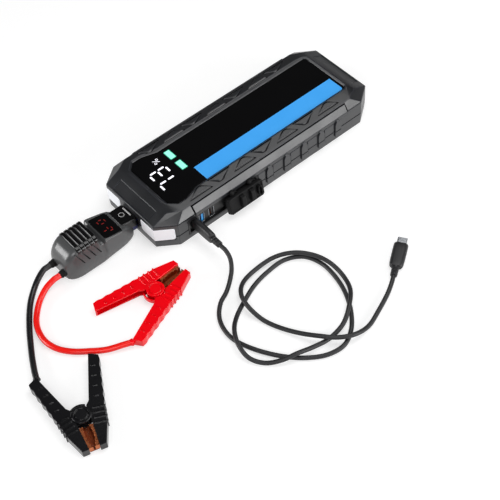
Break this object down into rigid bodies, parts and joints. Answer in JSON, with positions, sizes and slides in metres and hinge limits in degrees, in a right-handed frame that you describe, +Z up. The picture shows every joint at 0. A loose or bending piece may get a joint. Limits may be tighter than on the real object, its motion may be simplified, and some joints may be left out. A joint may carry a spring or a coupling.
{
  "type": "jump starter pack",
  "caption": "Flat jump starter pack with corner lamps, a folding port cover, plug-in clamp leads with spring clamps and a USB charging cable.",
  "frame": {"origin": "middle of the pack's flat underside, on the surface it stands on", "axes": "+X along the pack away from its lead socket, +Y away from the side with the USB ports, +Z up"},
  "size_m": [0.3986, 0.2569, 0.0344],
  "materials": {
    "case_plastic": "fine-grained moulded",
    "window_acrylic": "polished",
    "stripe_film": "printed film",
    "lamp_lens": "diffusing",
    "black_plastic": "moulded",
    "black_rubber": "matt",
    "circuit_board": "solder mask",
    "copper": "plated copper",
    "cell_pouch": "laminated foil",
    "foam": "closed-cell foam",
    "steel": "plain",
    "module_plastic": "fine-grained moulded",
    "plug_plastic": "moulded nylon",
    "red_plastic": "moulded",
    "clamp_black_plastic": "moulded",
    "red_silicone": "satin",
    "black_silicone": "satin",
    "cable_jacket": "matt"
  },
  "bodies": {
    "pack": {"top_shell": "case_plastic", "bottom_shell": "case_plastic", "display_window": "window_acrylic", "label_stripe": "stripe_film", "display_module": "black_plastic", "near_lamp_lens": "lamp_lens", "far_lamp_lens": "lamp_lens", "lamp_boards": "circuit_board", "lead_socket": "black_plastic", "socket_contacts": "copper", "power_bars": "copper", "battery_cells": "cell_pouch", "cell_link_board": "circuit_board", "lower_foam": "foam", "upper_foam": "foam", "main_board": "circuit_board", "port_bezel": "black_plastic", "usb_a_port_1": "steel", "usb_a_port_2": "steel", "usb_c_port": "steel", "port_cover": "black_rubber", "button_switch": "steel", "case_screws": "steel", "screw_plugs": "black_rubber"},
    "lead_set": {"module_top": "module_plastic", "module_bottom": "module_plastic", "module_grip": "black_rubber", "module_window": "window_acrylic", "module_board": "circuit_board", "module_relays": "black_plastic", "module_screws": "steel", "plug_housing": "plug_plastic", "plug_collar": "black_plastic", "plug_contacts": "copper", "lead_grommets": "black_rubber", "red_lead": "red_silicone", "red_fixed_half": "red_plastic", "red_fixed_jaw": "copper", "red_pin": "steel", "red_spring": "steel", "black_lead": "black_silicone", "black_fixed_half": "clamp_black_plastic", "black_fixed_jaw": "copper", "black_pin": "steel", "black_spring": "steel"},
    "red_clamp_half": {"red_moving_half": "red_plastic", "red_moving_jaw": "copper"},
    "black_clamp_half": {"black_moving_half": "clamp_black_plastic", "black_moving_jaw": "copper"},
    "usb_lead": {"usb_cable": "cable_jacket", "usb_near_grip": "cable_jacket", "usb_near_plug": "steel", "usb_far_grip": "cable_jacket", "usb_far_plug": "steel"},
    "port_flap": {"port_flap": "black_rubber"},
    "power_button": {"power_button": "black_rubber"}
  },
  "joints": [
    {"name": "lead_unplug", "type": "slide", "parent": "pack", "child": "lead_set", "axis": [-1, 0, 0], "range_m": [0, 0.016]},
    {"name": "red_clamp_open", "type": "hinge", "parent": "lead_set", "child": "red_clamp_half", "pos_m": [-0.1487, -0.0706, 0.0043], "axis": [0, 0, 1], "range_deg": [0, 30], "stiffness_Nm_per_rad": 0.6, "springref_deg": -17.19},
    {"name": "black_clamp_open", "type": "hinge", "parent": "lead_set", "child": "black_clamp_half", "pos_m": [-0.26, -0.125, 0.0043], "axis": [0, 0, 1], "range_deg": [0, 30], "stiffness_Nm_per_rad": 0.6, "springref_deg": -17.19},
    {"name": "usb_unplug", "type": "slide", "parent": "pack", "child": "usb_lead", "axis": [0, -1, 0], "range_m": [0, 0.0075]},
    {"name": "flap_fold", "type": "hinge", "parent": "pack", "child": "port_flap", "pos_m": [-0.0538, -0.04645, 0.01325], "axis": [0, 0, -1], "range_deg": [0, 115]},
    {"name": "button_press", "type": "slide", "parent": "pack", "child": "power_button", "axis": [0, -1, 0], "range_m": [0, 0.0006], "stiffness_N_per_m": 1500}
  ]
}
